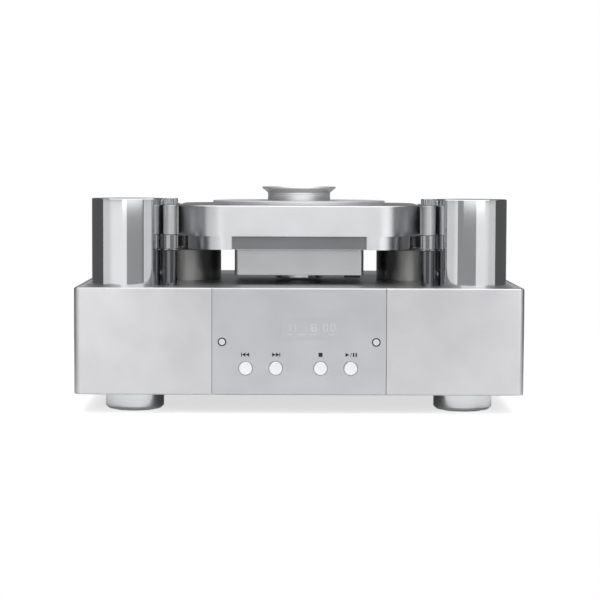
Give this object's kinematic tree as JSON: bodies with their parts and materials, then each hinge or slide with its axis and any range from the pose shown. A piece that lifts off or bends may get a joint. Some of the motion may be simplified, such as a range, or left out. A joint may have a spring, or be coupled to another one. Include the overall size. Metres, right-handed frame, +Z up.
{
  "type": "top-loading cd transport",
  "caption": "Top-loading disc transport: wide metal case with front controls, round corner towers, and a sprung drive unit with a round lid and clamping puck.",
  "frame": {"origin": "centre of the object's ground rectangle, on the surface it stands on", "axes": "+Z up, front panel towards -Y, +X to the right as seen from the front"},
  "size_m": [0.463, 0.3906, 0.2333],
  "materials": {
    "satin_aluminium": "satin, finely bead blasted and clear anodised",
    "panel_aluminium": "fine vertical brush, clear anodised",
    "polished_metal": "turned and mirror polished",
    "dark_polished": "turned, polished and black anodised",
    "satin_drive": "milled, satin with polished round corners",
    "steel": "plain machined steel",
    "brass": "turned",
    "black_rubber": "moulded, matt",
    "black_plastic": "moulded, fine spark texture",
    "window": "tinted acrylic, flush with the panel",
    "board": "glass-fibre circuit board with parts",
    "winding": "taped ring winding",
    "lens": "coated lens",
    "floor_steel": "powder coated sheet"
  },
  "bodies": {
    "chassis": {"bottom_plate": "floor_steel", "side_wall_left": "satin_aluminium", "side_wall_right": "satin_aluminium", "front_cheek_left": "satin_aluminium", "front_cheek_right": "satin_aluminium", "front_panel": "panel_aluminium", "top_deck": "satin_aluminium", "rear_panel": "satin_aluminium", "display_window": "window", "case_screws": "steel", "foot_rings": "black_rubber", "foot_pads": "black_rubber", "foot_front_left": "polished_metal", "foot_front_right": "polished_metal", "foot_rear_left": "polished_metal", "foot_rear_right": "polished_metal", "tower_left": "polished_metal", "tower_right": "polished_metal", "damper_pot_left": "dark_polished", "damper_pot_right": "dark_polished", "spring_left": "steel", "spring_right": "steel", "guide_post_left": "polished_metal", "guide_post_right": "polished_metal", "bump_stops": "black_rubber", "mains_inlet": "black_plastic", "coax_sockets": "brass", "transformer": "winding", "circuit_boards": "board"},
    "drive_unit": {"drive_slab": "satin_drive", "mechanism_base": "dark_polished", "drive_plate": "satin_drive", "drive_box": "satin_drive", "bearing_cup": "polished_metal", "link_socket": "black_plastic", "side_arm_left": "satin_drive", "side_arm_right": "satin_drive", "guide_collars": "polished_metal", "guide_caps": "polished_metal", "damper_studs": "steel", "spindle_bearing": "brass", "spindle_motor": "steel", "spindle_belt": "black_rubber", "sled_rails": "steel", "rail_holders": "satin_aluminium", "sled_motor": "steel"},
    "spindle": {"spindle_shaft": "steel", "disc_hub": "black_plastic", "spindle_pulley": "satin_aluminium"},
    "motor_rotor": {"motor_pulley": "brass"},
    "sled": {"sled_carriage": "black_plastic", "pickup_lens": "lens"},
    "screw": {"lead_screw": "brass"},
    "lid": {"lid": "satin_aluminium"},
    "puck": {"puck": "polished_metal"},
    "rocker": {"mains_rocker": "black_plastic"},
    "button_previous": {"button_previous": "satin_aluminium"},
    "button_next": {"button_next": "satin_aluminium"},
    "button_stop": {"button_stop": "satin_aluminium"},
    "button_play": {"button_play": "satin_aluminium"}
  },
  "joints": [
    {"name": "drive_float", "type": "slide", "parent": "chassis", "child": "drive_unit", "axis": [0, 0, 1], "range_m": [-0.0012, 0.0015], "stiffness_N_per_m": 24000, "springref_m": 0.00389, "deforming": ["spring_left", "spring_right"]},
    {"name": "spindle_turn", "type": "hinge", "parent": "drive_unit", "child": "spindle", "pos_m": [0, -0.0047, 0.2], "axis": [0, 0, 1], "continuous": true},
    {"name": "motor_turn", "type": "hinge", "parent": "drive_unit", "child": "motor_rotor", "pos_m": [0, -0.0757, 0.164], "axis": [0, 0, 1], "continuous": true},
    {"name": "sled_travel", "type": "slide", "parent": "drive_unit", "child": "sled", "axis": [0, 1, 0], "range_m": [0, 0.035]},
    {"name": "screw_turn", "type": "hinge", "parent": "drive_unit", "child": "screw", "pos_m": [-0.01, 0.0253, 0.176], "axis": [0, 1, 0], "range_deg": [0, 4201]},
    {"name": "lid_lift", "type": "slide", "parent": "drive_unit", "child": "lid", "axis": [0, 0, 1], "range_m": [0, 0.06]},
    {"name": "puck_lift", "type": "slide", "parent": "spindle", "child": "puck", "axis": [0, 0, 1], "range_m": [0, 0.06]},
    {"name": "rocker_tilt", "type": "hinge", "parent": "chassis", "child": "rocker", "pos_m": [-0.15, 0.1853, 0.0875], "axis": [1, 0, 0], "range_deg": [-16, 0]},
    {"name": "button_previous_press", "type": "slide", "parent": "chassis", "child": "button_previous", "axis": [0, 1, 0], "range_m": [0, 0.0012], "stiffness_N_per_m": 900, "springref_m": -0.0008},
    {"name": "button_next_press", "type": "slide", "parent": "chassis", "child": "button_next", "axis": [0, 1, 0], "range_m": [0, 0.0012], "stiffness_N_per_m": 900, "springref_m": -0.0008},
    {"name": "button_stop_press", "type": "slide", "parent": "chassis", "child": "button_stop", "axis": [0, 1, 0], "range_m": [0, 0.0012], "stiffness_N_per_m": 900, "springref_m": -0.0008},
    {"name": "button_play_press", "type": "slide", "parent": "chassis", "child": "button_play", "axis": [0, 1, 0], "range_m": [0, 0.0012], "stiffness_N_per_m": 900, "springref_m": -0.0008}
  ],
  "couplings": [
    {"joint": "motor_turn", "follows": "spindle_turn", "ratio": 5.2},
    {"joint": "screw_turn", "follows": "sled_travel", "rad_per_m": 2094.4}
  ]
}
